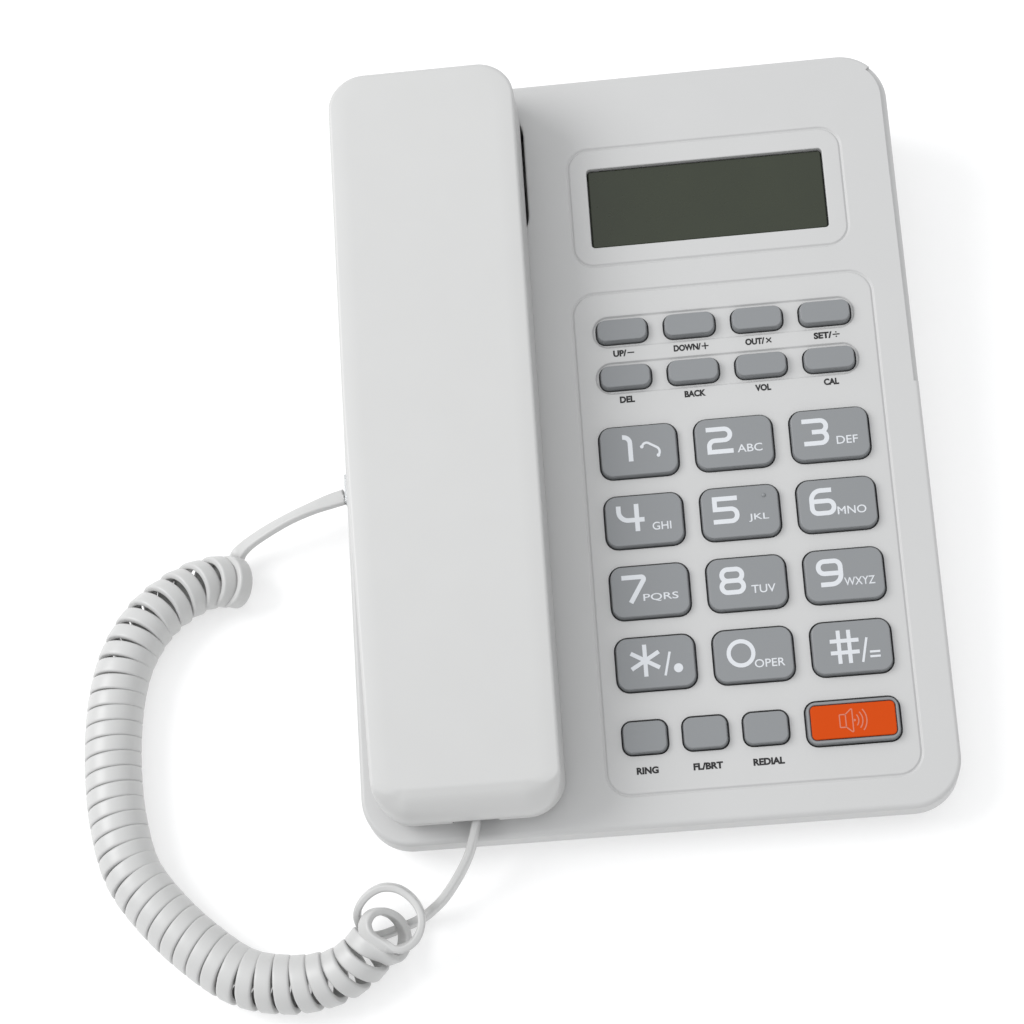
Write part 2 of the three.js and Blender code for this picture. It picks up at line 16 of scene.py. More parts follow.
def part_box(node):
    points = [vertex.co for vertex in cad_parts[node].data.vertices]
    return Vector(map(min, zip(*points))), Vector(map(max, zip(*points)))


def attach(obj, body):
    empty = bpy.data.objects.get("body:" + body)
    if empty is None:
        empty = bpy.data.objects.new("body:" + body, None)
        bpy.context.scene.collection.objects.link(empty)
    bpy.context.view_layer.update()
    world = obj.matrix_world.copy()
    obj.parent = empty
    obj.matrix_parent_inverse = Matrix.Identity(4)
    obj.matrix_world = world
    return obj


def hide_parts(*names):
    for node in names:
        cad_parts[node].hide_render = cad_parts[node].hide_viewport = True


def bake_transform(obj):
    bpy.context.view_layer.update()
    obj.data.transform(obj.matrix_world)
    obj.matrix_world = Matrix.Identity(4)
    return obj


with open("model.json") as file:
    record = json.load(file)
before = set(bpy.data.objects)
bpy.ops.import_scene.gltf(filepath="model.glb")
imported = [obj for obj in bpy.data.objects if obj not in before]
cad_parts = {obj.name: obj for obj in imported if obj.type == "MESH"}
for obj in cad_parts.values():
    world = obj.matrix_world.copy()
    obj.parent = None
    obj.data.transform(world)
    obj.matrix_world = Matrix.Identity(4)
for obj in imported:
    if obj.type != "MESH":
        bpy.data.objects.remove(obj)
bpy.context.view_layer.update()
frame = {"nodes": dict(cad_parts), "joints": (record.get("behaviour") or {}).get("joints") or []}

# Sizes that the pieces share -------------------------------------------------------------

WALL = 0.0024  # thickness of the base's top shell
SKIRT = 0.0070  # height of the top shell's lower edge over the table
BASE_CORNER = 0.0125  # radius of its corners in plan
FRONT_ROUND = 0.0013  # radius of the deck's front edge
SIDE_ROUND = 0.0011  # radius of its other edges
KEY_FLANGE = 0.0009  # the flange that keeps a key under the deck
KEY_SHOULDER = -0.003  # where that flange starts
KEY_GAP = 0.0004  # between a key and its hole
KEY_LIP = 0.00012  # radius of the hole's edge
KEY_ROUND = 0.00028  # radius of a key's upper edge
KEY_DRAFT = 0.00022  # how much a key spreads from its top to the deck
KEY_TRIM = {"dial": (0.0009, 0.0003), "lower": (0.0012, 0.0005), "other": (0.0004, 0.0001)}
PLATE_EXTRA = 0.0005  # how much wider the orange plate is than its CAD node
SHARP = math.radians(32)  # edges sharper than this stay crisp
KEY_SHARP = math.radians(50)  # the same on keys

EAR_WELL = {"x": -0.0474, "v": 0.07645, "width": 0.0498, "depth": 0.0385, "corner": 0.008}
MOUTH_WELL = {"x": -0.0475, "v": -0.0705, "width": 0.0406, "depth": 0.038, "corner": 0.008}
EAR_FLOOR = -0.0104
MOUTH_FLOOR = -0.0083
WELL_ROUND = 0.002  # radius between a well's wall and its floor
LENS_FLANGE = 0.002  # the display glass's hidden flange
DISPLAY_GROOVE = {"x": 0.025, "v": 0.06525, "width": 0.0725, "depth": 0.0332, "corner": 0.0055}
KEYPAD_GROOVE = {"x": 0.02635, "v": -0.02555, "width": 0.0784, "depth": 0.1329, "corner": 0.006}
GROOVE_HALF = 0.0006  # half the width of both grooves
GROOVE_DEPTH = 0.0004
BAND_MARGIN = 0.0011  # trough round each row of function keys
BAND_DEPTH = 0.00045
REBATE_FROM = 0.0094  # the step in the rear right edge starts here

DIAL_KEYS = ["1", "2", "3", "4", "5", "6", "7", "8", "9", "star", "0", "hash"]
FUNCTION_KEYS = ["up", "down", "out", "set", "delete", "back", "volume", "calculator"]
LOWER_KEYS = ["ring", "flash", "redial"]
DIAL_NODES = [f"dial_key_{name}" for name in DIAL_KEYS]
FUNCTION_NODES = [f"{name}_key" for name in FUNCTION_KEYS]
LOWER_NODES = [f"{name}_key" for name in LOWER_KEYS]

HANDSET_CORNER = 0.0095  # radius of its corners in plan
HANDSET_SPLIT = 0.0085  # height of its seam over the deck
HANDSET_WALL = 0.002
HANDSET_REACH = 0.0017  # how far its lower end goes past the CAD shell's
EAR_V = 0.07645  # where its two cups are
MOUTH_V = -0.0705

CORD_WIDTH = 0.0041
CORD_THICKNESS = 0.0019
COIL_RADIUS = 0.0064  # from the coil's axis to the middle of the flat cord
COIL_TURNS = 39.5
COIL_SAMPLES = 1900
COIL_LEAN = math.radians(36)  # how far the first turns lean towards the base
COIL_SWING = math.radians(11)  # and how far they are turned
END_STRETCH = 0.19  # the turns near both ends are further apart
START_CROWDING = 0.8  # but the very first are closer together
START_SHRINK = 0.0005  # and both ends' turns are smaller
FINISH_SHRINK = 0.0006

# The deck's frame ------------------------------------------------------------------------

lift = next(joint for joint in frame["joints"] if joint["name"] == "handset_lift")
RIGHT = Vector((1, 0, 0))
OUT = Vector(lift["axis"]).normalized()
UPHILL = OUT.cross(RIGHT)
top_low, top_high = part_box("base_top_shell")
BASE_WIDTH = top_high.x - top_low.x
BASE_DEPTH = top_high.y - top_low.y
BASE_Y = (top_high.y + top_low.y) / 2
SLOPE = -OUT.y / OUT.z
DECK_ORIGIN = Vector((0, 0, top_high.z - top_high.y * SLOPE))


def on_deck(x, v, n=0.0):
    return DECK_ORIGIN + RIGHT * x + UPHILL * v + OUT * n


def deck_height(y):
    return DECK_ORIGIN.z + y * SLOPE


def near(x, v):
    """Turns places given from (x, v) into places on the deck."""
    return lambda a, b, n: on_deck(x + a, v + b, n)


def deck_box(node):
    """Lowest and highest corner of a CAD node in the deck's frame."""
    places = [vertex.co - DECK_ORIGIN for vertex in frame["nodes"][node].data.vertices]
    axes = (RIGHT, UPHILL, OUT)
    low = Vector([min(place.dot(axis) for place in places) for axis in axes])
    high = Vector([max(place.dot(axis) for place in places) for axis in axes])
    return low, high


def deck_middle(node):
    low, high = deck_box(node)
    return (low + high) / 2


# Mesh tools ------------------------------------------------------------------------------

def outline(x, v, width, depth, corner, arc=8, run=6):
    """Points round a rectangle with round corners, each with its outward direction."""
    half_w, half_d = width / 2 - corner, depth / 2 - corner
    places = []
    for quarter, (sx, sy) in enumerate([(1, -1), (1, 1), (-1, 1), (-1, -1)]):
        start = -math.pi / 2 + quarter * math.pi / 2
        middle = Vector((x + sx * half_w, v + sy * half_d))
        for step in range(arc + 1):
            angle = start + step / arc * math.pi / 2
            out = Vector((math.cos(angle), math.sin(angle)))
            places.append((middle + out * corner, out))
    spread = []
    for index, (point, out) in enumerate(places):
        spread.append((point, out))
        following = places[(index + 1) % len(places)]
        if (index + 1) % (arc + 1) == 0:
            for step in range(1, run):
                spread.append((point.lerp(following[0], step / run), out))
    return spread


def grown(places, by):
    return [point + out * by for point, out in places]


def quarter(steps):
    """A quarter round of radius 1 from a flat into a wall: the way left to the wall, and the drop."""
    angles = [step / steps * math.pi / 2 for step in range(steps + 1)]
    return [(1 - math.sin(angle), 1 - math.cos(angle)) for angle in angles]


class Shape:
    """A mesh under construction: rings of points, lofted and capped."""

    def __init__(self):
        self.points = []
        self.faces = []

    def ring(self, points):
        first = len(self.points)
        self.points += [Vector(point) for point in points]
        return list(range(first, len(self.points)))

    def levels(self, places, steps):
        """Rings round an outline. Each step says how much it grows, and its height out of the deck."""
        return [self.ring([on_deck(p.x, p.y, n) for p in grown(places, by)]) for by, n in steps]

    def sweep(self, places, profiles, at):
        """Rings round an outline, where each place goes in and down by its own profile."""
        rings = []
        for level in zip(*profiles):
            moved = [(point - out * inset, drop) for (point, out), (inset, drop) in zip(places, level)]
            rings.append(self.ring([at(place.x, place.y, drop) for place, drop in moved]))
        return rings

    def loft(self, rings):
        for lower, upper in zip(rings, rings[1:]):
            count = len(lower)
            for i in range(count):
                j = (i + 1) % count
                self.faces.append((lower[i], lower[j], upper[j], upper[i]))

    def close(self, rings):
        self.loft(rings)
        self.fill(rings[0])
        self.fill(rings[-1])

    def fill(self, *loops):
        """A flat area inside the first loop and outside the others."""
        order = [index for loop in loops for index in loop]
        for triangle in tessellate_polygon([[self.points[i] for i in loop] for loop in loops]):
            self.faces.append(tuple(order[i] for i in triangle))

    def add(self, points, faces):
        first = len(self.points)
        self.points += [Vector(point) for point in points]
        self.faces += [tuple(first + i for i in face) for face in faces]

    def prism(self, loops, low, high, place):
        """Walls and two flat ends between heights low and high; loops hold (x, y) points."""
        ends = []
        for level in (low, high):
            rings = [self.ring([place(p[0], p[1], level) for p in loop]) for loop in loops]
            self.fill(*rings)
            ends.append(rings)
        for lower, upper in zip(*ends):
            self.loft([lower, upper])

    def mesh(self, name):
        data = bpy.data.meshes.new(name)
        data.from_pydata(self.points, [], self.faces)
        work = bmesh.new()
        work.from_mesh(data)
        bmesh.ops.remove_doubles(work, verts=work.verts, dist=1e-7)
        bmesh.ops.recalc_face_normals(work, faces=work.faces)
        work.to_mesh(data)
        work.free()
        return data


def new_object(name, data):
    made = bpy.data.objects.new(name, data)
    bpy.context.scene.collection.objects.link(made)
    return made


def evaluated(obj):
    graph = bpy.context.evaluated_depsgraph_get()
    graph.update()
    return bpy.data.meshes.new_from_object(obj.evaluated_get(graph))


def boolean(data, tools):
    """Cuts the tools out of a mesh, one after another."""
    body = new_object("boolean_body", data)
    for tool in tools:
        other = new_object("boolean_tool", tool)
        change = body.modifiers.new("change", "BOOLEAN")
        change.operation = "DIFFERENCE"
        change.solver = "EXACT"
        change.object = other
        result = evaluated(body)
        body.modifiers.clear()
        body.data = result
        bpy.data.objects.remove(other)
    result = body.data
    bpy.data.objects.remove(body)
    return result


def finished(name, data, material, body, replaces=(), crisp=SHARP, weighted=True):
    """Turns a mesh into a smooth-shaded piece that rides on its body."""
    data.name = name
    data.materials.clear()
    data.materials.append(material)
    data.shade_smooth()
    data.set_sharp_from_angle(angle=crisp)
    piece = new_object(name, data)
    if weighted:
        normals = piece.modifiers.new("normals", "WEIGHTED_NORMAL")
        normals.keep_sharp = True
        normals.weight = 100
    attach(piece, body)
    if replaces:
        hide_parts(*replaces)
    return piece


def block(x, v, width, depth, corner, low, high):
    """A closed block that stands square to the deck."""
    shape = Shape()
    shape.prism([grown(outline(x, v, width, depth, corner, 4, 1), 0)], low, high, on_deck)
    return shape.mesh("block")


def rod(middle, radius, length, sides):
    """A closed cylinder, square to the deck and centred on middle."""
    turn = OUT.to_track_quat("Z", "Y").to_matrix()
    angles = [2 * math.pi * i / sides for i in range(sides)]
    loop = [(radius * math.cos(a), radius * math.sin(a)) for a in angles]
    shape = Shape()
    shape.prism([loop], -length / 2, length / 2, lambda x, y, z: middle + turn @ Vector((x, y, z)))
    return shape.mesh("rod")


# Materials -------------------------------------------------------------------------------

def material(name, colour, roughness, mottle=0.006, grain=0.00002, grain_size=0.0005, **sockets):
    """A plastic-like surface: a faint mottle in colour and gloss, and a fine moulded grain."""
    made = bpy.data.materials.new(name)
    made.use_nodes = True
    nodes, links = made.node_tree.nodes, made.node_tree.links
    shader = nodes["Principled BSDF"]
    for socket, value in sockets.items():
        shader.inputs[socket.replace("_", " ")].default_value = value
    places = nodes.new("ShaderNodeTexCoord")

    def noise(size, detail):
        node = nodes.new("ShaderNodeTexNoise")
        node.inputs["Scale"].default_value = 1 / size
        node.inputs["Detail"].default_value = detail
        links.new(places.outputs["Object"], node.inputs["Vector"])
        return node

    cloud = noise(0.012, 4)
    ramp = nodes.new("ShaderNodeValToRGB")
    ramp.color_ramp.elements[0].position = 0.3
    ramp.color_ramp.elements[1].position = 0.7
    ramp.color_ramp.elements[0].color = (*[c * (1 - mottle) for c in colour], 1)
    ramp.color_ramp.elements[1].color = (*[min(1, c * (1 + mottle)) for c in colour], 1)
    links.new(cloud.outputs["Fac"], ramp.inputs["Fac"])
    links.new(ramp.outputs["Color"], shader.inputs["Base Color"])

    patches = noise(0.004, 3)
    gloss = nodes.new("ShaderNodeMapRange")
    gloss.inputs["To Min"].default_value = max(0.02, roughness - 0.06)
    gloss.inputs["To Max"].default_value = roughness + 0.06
    links.new(patches.outputs["Fac"], gloss.inputs["Value"])
    links.new(gloss.outputs["Result"], shader.inputs["Roughness"])

    fine = noise(grain_size, 2)
    bump = nodes.new("ShaderNodeBump")
    bump.inputs["Strength"].default_value = 0.35
    bump.inputs["Distance"].default_value = grain
    links.new(fine.outputs["Fac"], bump.inputs["Height"])
    links.new(bump.outputs["Normal"], shader.inputs["Normal"])
    return made


SHELL = material("shell_abs", (0.545, 0.545, 0.543), 0.42)
HANDSET = material("handset_abs", (0.56, 0.56, 0.555), 0.40)
GREY = material("key_grey", (0.234, 0.243, 0.252), 0.45, grain_size=0.0003)
ORANGE = material("orange_cap", (0.58, 0.062, 0.002), 0.5, Specular_IOR_Level=0.12)
LEGEND = material("legend_white", (0.64, 0.66, 0.69), 0.5, mottle=0.01)
INK = material("legend_black", (0.007, 0.007, 0.008), 0.6, mottle=0.05)
ICON = material("legend_pink", (0.58, 0.18, 0.11), 0.5)
VINYL = material("cord_vinyl", (0.54, 0.54, 0.535), 0.38, Sheen_Weight=0.05)
PANEL = material("display_glass", (0.020, 0.026, 0.012), 0.28, mottle=0.06, grain=0.000003)
RUBBER = material("foot_rubber", (0.035, 0.035, 0.037), 0.8, grain=0.00008)
DARK = material("dark_plastic", (0.03, 0.031, 0.033), 0.5)
CLEAR = material("clear_plug", (0.85, 0.87, 0.88), 0.12, grain=0.0, Transmission_Weight=0.85)
STEEL = material("zinc_steel", (0.55, 0.55, 0.56), 0.32, Metallic=1.0)
BOARD = material("board_green", (0.03, 0.13, 0.06), 0.4)
SILICONE = material("silicone_mat", (0.5, 0.5, 0.51), 0.65)

# Camera ----------------------------------------------------------------------------------

CAMERA_PLACE = Vector((0.01090, -0.24872, 0.59634))
CAMERA_TARGET = Vector((-0.032035, -0.016961, 0.025604))
CAMERA_ROLL = math.radians(-14.5709)


def add_camera():
    data = bpy.data.cameras.new("camera")
    data.lens = 84.375
    data.sensor_width = 36
    data.clip_start, data.clip_end = 0.01, 20
    camera = new_object("camera", data)
    back = (CAMERA_PLACE - CAMERA_TARGET).normalized()
    side = Vector((0, 0, 1)).cross(back).normalized()
    above = back.cross(side)
    x_axis = side * math.cos(CAMERA_ROLL) + above * math.sin(CAMERA_ROLL)
    y_axis = back.cross(x_axis)
    turn = Matrix((x_axis, y_axis, back)).transposed().to_4x4()
    camera.matrix_world = Matrix.Translation(CAMERA_PLACE) @ turn
    bpy.context.scene.camera = camera


add_camera()

# Curly cord ------------------------------------------------------------------------------

def route(*points):
    """Points given in millimetres."""
    return [tuple(value / 1000 for value in point) for point in points]


# Routes on the table, in order from the base to the handset. The coil's route is its axis.
BASE_LEAD_ROUTE = route(
    (-77.1, -3.9, 14.0), (-81.0, -4.6, 13.4), (-85.5, -5.6, 12.6), (-92.4, -7.6, 11.2),
    (-100.1, -10.6, 9.2), (-105.7, -13.1, 6.6), (-108.6, -15.5, 4.0), (-109.3, -18.8, 2.4))
COIL_ROUTE = route(
    (-107.8, -22.8, 7.0), (-108.8, -22.7, 7.0), (-110.1, -22.5, 7.0), (-112.8, -22.2, 7.0),
    (-117.2, -22.9, 7.1), (-121.5, -24.8, 7.3), (-126.2, -27.8, 7.5), (-131.5, -32.8, 7.5),
    (-136.5, -41.2, 7.5), (-139.2, -50.5, 7.5), (-140.4, -61.0, 7.5), (-140.4, -73.0, 7.5),
    (-139.0, -86.0, 7.5), (-135.4, -99.0, 7.5), (-128.5, -109.3, 7.5), (-118.5, -119.6, 7.5),
    (-107.0, -128.0, 7.5), (-95.0, -130.8, 7.5), (-84.5, -129.8, 7.5), (-78.3, -126.7, 7.6),
    (-74.0, -122.8, 7.9))
# The last turn tips up and opens towards the viewer.
LAST_RING = route(
    (-70.9, -126.4, 11.9), (-68.9, -126.8, 8.4), (-67.2, -124.2, 5.5), (-66.4, -120.6, 5.2),
    (-66.9, -117.8, 7.0), (-68.6, -115.8, 9.5), (-71.3, -115.0, 11.6), (-73.8, -116.0, 13.1),
    (-75.1, -118.8, 14.0), (-74.1, -121.9, 14.2), (-71.0, -124.3, 14.0))
LAST_RING_MIDDLE = Vector((-0.0706, -0.1200, 0.0098))
# From there the cord makes a wide loose ring, dives under it and leaves along the table.
LOOSE_RING = route(
    (-66.8, -125.2, 13.6), (-63.3, -123.6, 13.1), (-61.4, -120.2, 12.6), (-61.3, -116.4, 12.4),
    (-63.2, -112.7, 12.4), (-66.7, -109.9, 12.4), (-70.9, -109.2, 12.1), (-74.7, -110.8, 11.4),
    (-77.3, -113.6, 9.8), (-77.6, -116.2, 7.0), (-76.0, -118.5, 4.0))
RING_UPRIGHT = Vector((0.07, -0.37, 0.93))  # the loose ring's flat side stands along this
HANDSET_LEAD_ROUTE = route(
    (-72.9, -118.9, 2.3), (-69.8, -118.2, 2.2), (-65.0, -116.6, 2.3), (-62.2, -115.5, 2.8),
    (-59.8, -114.4, 4.4), (-56.4, -112.2, 6.6), (-53.2, -109.3, 9.6), (-50.5, -106.3, 12.6),
    (-48.2, -103.1, 15.6), (-46.7, -99.7, 18.1), (-45.8, -96.8, 19.4), (-45.6, -95.8, 19.6))


def smooth_route(points, per_span):
    """Points on a smooth curve through the given ones."""
    points = [Vector(point) for point in points]
    padded = [points[0] * 2 - points[1], *points, points[-1] * 2 - points[-2]]
    places = []
    for p0, p1, p2, p3 in zip(padded, padded[1:], padded[2:], padded[3:]):
        for step in range(per_span):
            t = step / per_span
            places.append(0.5 * ((2 * p1) + (p2 - p0) * t + (2 * p0 - 5 * p1 + 4 * p2 - p3) * t * t
                                 + (3 * p1 - p0 - 3 * p2 + p3) * t ** 3))
    places.append(points[-1])
    return places


def evenly(places, count):
    """count + 1 points at even steps along a line of points."""
    lengths = [0.0]
    for a, b in zip(places, places[1:]):
        lengths.append(lengths[-1] + (b - a).length)
    spread, index = [], 0
    for step in range(count + 1):
        target = lengths[-1] * step / count
        while index < len(lengths) - 2 and lengths[index + 1] < target:
            index += 1
        share = (target - lengths[index]) / max(1e-9, lengths[index + 1] - lengths[index])
        spread.append(places[index].lerp(places[index + 1], min(1, share)))
    return spread


def smoothstep(t):
    t = min(1.0, max(0.0, t))
    return t * t * (3 - 2 * t)


def tangents(places):
    last = len(places) - 1
    return [(places[min(i + 1, last)] - places[max(i - 1, 0)]).normalized() for i in range(last + 1)]


def fading(done, share):
    """1 at the start of the way, falling to 0 where that share of it is done."""
    return 1 - smoothstep(done / share)


def coil_line():
    """The right-handed helix round the coil's route: its points, and the way its flat side faces."""
    samples = COIL_SAMPLES
    axis = evenly(smooth_route(COIL_ROUTE, 20), samples)
    rates = [1 - END_STRETCH * fading(min(i, samples - i) / samples, 0.28)
             + START_CROWDING * fading(i / samples, 0.035) for i in range(samples + 1)]
    total = sum(rates[:-1])
    turned = 0.0
    points, outs = [], []
    for index, (middle, tangent, rate) in enumerate(zip(axis, tangents(axis), rates)):
        done = index / samples
        finish = smoothstep((done - 0.85) / 0.12)
        angle = math.pi + 2 * math.pi * COIL_TURNS * turned / total
        turned += rate
        rise = (Vector((0, 0, 1)) - tangent * tangent.z).normalized()
        tangent = Matrix.Rotation(COIL_SWING * fading(done, 0.12), 3, "Z") @ tangent
        across = tangent.cross(rise)
        lean = COIL_LEAN * (fading(done, 0.3) + 0.4 * fading(done, 0.03) + 0.45 * finish)
        radius = COIL_RADIUS - START_SHRINK * fading(done, 0.2) - FINISH_SHRINK * finish
        rise = rise * math.cos(lean) - tangent * math.sin(lean)
        out = rise * math.cos(angle) + across * math.sin(angle)
        points.append(middle + out * radius)
        outs.append(out)
    return points, outs


def cord_line():
    """The whole cord from the base to the handset, and the way its flat side faces."""
    coil, coil_outs = coil_line()
    span = 8
    lead = [Vector(point) for point in BASE_LEAD_ROUTE]
    # The lead leaves its plug level, rolls on to an edge, and joins the coil.
    level, rolled = Vector((0, 0, -1)), Vector((0.2, -0.6, -0.75))
    lead_outs = [level.lerp(rolled, smoothstep(i / 3)).lerp(coil_outs[0], smoothstep(i / len(lead)) ** 2)
                 for i in range(len(lead))]
    start = smooth_route([*lead, coil[0], coil[4]], span)[:-2 * span]
    start_outs = smooth_route([*lead_outs, coil_outs[0], coil_outs[4]], span)[:-2 * span]

    ring = [Vector(point) for point in LAST_RING]
    ring_outs = [(point - LAST_RING_MIDDLE).normalized() for point in ring]
    tail = [Vector(point) for point in [*LOOSE_RING, *HANDSET_LEAD_ROUTE]]
    uprights = [RING_UPRIGHT] * len(LOOSE_RING) + [Vector((0, 0, 1))] * len(HANDSET_LEAD_ROUTE)
    tail_outs = [tangent.cross(upright).normalized() for tangent, upright in zip(tangents(tail), uprights)]
    end = smooth_route([coil[-5], coil[-1], *ring, *tail], span)[span + 1:]
    end_outs = smooth_route([coil_outs[-5], coil_outs[-1], *ring_outs, *tail_outs], span)[span + 1:]
    return start + coil + end, start_outs + coil_outs + end_outs


def add_cord():
    path, outs = cord_line()
    section = grown(outline(0, 0, CORD_THICKNESS, CORD_WIDTH, 0.0006, 4, 3), 0)
    shape = Shape()
    rings = []
    last = len(path) - 1
    for i, (point, out) in enumerate(zip(path, outs)):
        ahead = (path[min(i + 1, last)] - path[max(i - 1, 0)]).normalized()
        thin = (out - ahead * out.dot(ahead)).normalized()
        wide = ahead.cross(thin)
        rings.append(shape.ring([point + thin * a + wide * b for a, b in section]))
    shape.close(rings)
    data = shape.mesh("curly_cord")
    data.materials.append(VINYL)
    data.shade_smooth()
    cord = new_object("curly_cord", data)
    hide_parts("curly_cord_coil", "cord_lead_to_base", "cord_lead_to_handset")
    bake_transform(cord)


add_cord()

# Base: top shell -------------------------------------------------------------------------

def top_profile(point, out, stepped):
    """Inset and drop from the deck's edge down to the wall, where the edge is plain or stepped."""
    if stepped:
        edge = 0.0014 + 0.0003 * smoothstep((point.y - REBATE_FROM) / 0.08)
        return [(edge, 0), (edge - 0.00008, 0.00002), (edge - 0.00016, 0.0001), (edge - 0.0002, 0.0002),
                (edge - 0.0002, 0.0008), (edge - 0.0003, 0.0009), (0.0004, 0.00125), (0.0001, 0.00145),
                (0, 0.0018)]
    radius = SIDE_ROUND + (FRONT_ROUND - SIDE_ROUND) * smoothstep(-out.y)
    return [(radius * inset, radius * drop) for inset, drop in quarter(8)]


def rim_places():
    """The base's outline, split where the stepped edge starts and stops, and each place's profile."""
    places = outline(0, BASE_Y, BASE_WIDTH, BASE_DEPTH, BASE_CORNER, 16, 8)
    made = []
    for index, (point, out) in enumerate(places):
        following = places[(index + 1) % len(places)][0]
        corner_middle = out.x > 0.7 and out.y > 0.7 and abs(out.x - out.y) < 0.01
        stepped = out.x > 0.7 and point.y > REBATE_FROM and out.y <= out.x + 0.01
        if corner_middle:
            made += [(point, out, True), (point, out, False)]
            continue
        made.append((point, out, stepped))
        if out.x > 0.99 and point.y < REBATE_FROM < following.y:
            start = Vector((point.x, REBATE_FROM))
            made += [(start, out, False), (start, out, True)]
    return [place[:2] for place in made], [top_profile(*place) for place in made]


def wall(shape, places, floor, lip, steps=3, n=0.0):
    """A hole's edge at height n, rounded by lip, and its wall to floor. Returns its two end rings."""
    edge = [(lip * inset, n - lip * drop) for inset, drop in quarter(steps)]
    rings = shape.levels(places, [*edge, (0, floor)])
    shape.loft(rings)
    return rings[0], rings[-1]


def hole(shape, places, lip, steps=3, n=0.0):
    """A hole that goes through the deck once the room under it is cut out. Returns its rim."""
    rim, low = wall(shape, places, -2 * WALL, lip, steps, n)
    shape.fill(low)
    return rim


def well(shape, size, floor):
    """A blind pocket with a rounded floor. Returns its rim."""
    places = outline(**size, arc=10)
    rim, low = wall(shape, places, floor + WELL_ROUND, 0.0005)
    turn = [(-WELL_ROUND * drop, floor + WELL_ROUND * inset) for inset, drop in quarter(4)[1:]]
    rings = [low, *shape.levels(places, turn)]
    shape.loft(rings)
    shape.fill(rings[-1])
    return rim


def groove(shape, size):
    """A shallow channel round a panel. Returns its outer and inner rims."""
    section = [(-share * GROOVE_HALF, -GROOVE_DEPTH * (0.5 + 0.5 * math.cos(math.pi * share)))
               for share in [step / 8 * 2 - 1 for step in range(9)]]
    rings = shape.levels(outline(**size, arc=10), section)
    shape.loft(rings)
    return rings[0], rings[-1]


def key_size(node):
    """A key's middle and size, without its flange."""
    low, high = deck_box(node)
    middle = (low + high) / 2
    lower = node[:-4] in (*LOWER_KEYS, "speaker")
    trim = KEY_TRIM["dial" if node.startswith("dial") else "lower" if lower else "other"]
    return {"x": middle.x, "v": middle.y, "width": high.x - low.x - 2 * KEY_FLANGE - trim[0],
            "depth": high.y - low.y - 2 * KEY_FLANGE - trim[1]}


def key_corner(node):
    if node.startswith("dial"):
        return 0.003
    return 0.0026 if node == "speaker_key" else 0.0022


def key_hole(shape, node, n=0.0):
    size = key_size(node)
    places = outline(size["x"], size["v"], size["width"] + 2 * KEY_GAP, size["depth"] + 2 * KEY_GAP,
                     key_corner(node) + KEY_GAP, 6, 3)
    return hole(shape, places, KEY_LIP, 2, n)


def function_band(shape, nodes):
    """The trough round a row of function keys, with its key holes. Returns its rim."""
    sizes = [key_size(node) for node in nodes]
    left = sizes[0]["x"] - sizes[0]["width"] / 2 - BAND_MARGIN
    right = sizes[-1]["x"] + sizes[-1]["width"] / 2 + BAND_MARGIN
    depth = sizes[0]["depth"] + 2 * BAND_MARGIN
    places = outline((left + right) / 2, sizes[0]["v"], right - left, depth, 0.98 * depth / 2, 12, 10)
    rings = shape.levels(places, [(0.0003 - 0.0006 * share, -BAND_DEPTH * smoothstep(share))
                                  for share in [step / 6 for step in range(7)]])
    shape.loft(rings)
    holes = [key_hole(shape, node, -BAND_DEPTH) for node in nodes]
    shape.fill(rings[-1], *holes)
    return rings[0]


def base_outside():
    """The top shell before it is hollowed out: deck, edges, walls and every pocket."""
    shape = Shape()
    places, profiles = rim_places()
    rings = shape.sweep(places, profiles, lambda x, y, drop: (x, y, deck_height(y) - drop))
    lip = 0.0005  # of the skirt's lower edge
    for inset, height in ((0, SKIRT + lip), (0.3 * lip, SKIRT + 0.3 * lip), (lip, SKIRT)):
        rings.append(shape.ring([(*point, height) for point in grown(places, -inset)]))
    shape.loft(rings)
    shape.fill(rings[-1])

    wells = [well(shape, EAR_WELL, EAR_FLOOR), well(shape, MOUTH_WELL, MOUTH_FLOOR)]
    plunger = deck_middle("hook_plunger")
    slot = hole(shape, outline(plunger.x, plunger.y, 0.011, 0.006, 0.001, 4, 2), 0.0004)
    display_rims = groove(shape, DISPLAY_GROOVE)
    keypad_rims = groove(shape, KEYPAD_GROOVE)
    shape.fill(rings[0], *wells, slot, display_rims[0], keypad_rims[0])

    window = hole(shape, display_outline(0.0005, 0.001, 4), 0.0003)
    shape.fill(display_rims[1], window)

    bands = [function_band(shape, row) for row in (FUNCTION_NODES[:4], FUNCTION_NODES[4:])]
    single = [key_hole(shape, node) for node in [*DIAL_NODES, *LOWER_NODES, "speaker_key"]]
    shape.fill(keypad_rims[1], *bands, *single)
    return shape.mesh("base_outside")


def display_outline(margin, corner, run):
    """The outline of the display glass's visible part, wider by margin in all."""
    low, high = deck_box("display_window")
    middle = (low + high) / 2
    size = high - low - Vector((2 * LENS_FLANGE, 2 * LENS_FLANGE, 0))
    return outline(middle.x, middle.y, size.x + margin, size.y + margin, corner, 4, run)


def base_room():
    """The space inside the top shell."""
    places = outline(0, BASE_Y, BASE_WIDTH - 2 * WALL, BASE_DEPTH - 2 * WALL, BASE_CORNER - WALL, 8, 1)
    shape = Shape()
    bottom = shape.ring([(*point, SKIRT - 0.01) for point, _ in places])
    roof = WALL / OUT.z
    top = shape.ring([(*point, deck_height(point.y) - roof) for point, _ in places])
    shape.loft([bottom, top])
    shape.fill(bottom)
    shape.fill(top)
    pockets = []
    for size, floor in ((EAR_WELL, EAR_FLOOR), (MOUTH_WELL, MOUTH_FLOOR)):
        pockets.append(block(size["x"], size["v"], size["width"] + 0.004, size["depth"] + 0.004,
                             size["corner"] + 0.002, floor - 0.002, 0.005))
    return boolean(shape.mesh("base_room"), pockets)


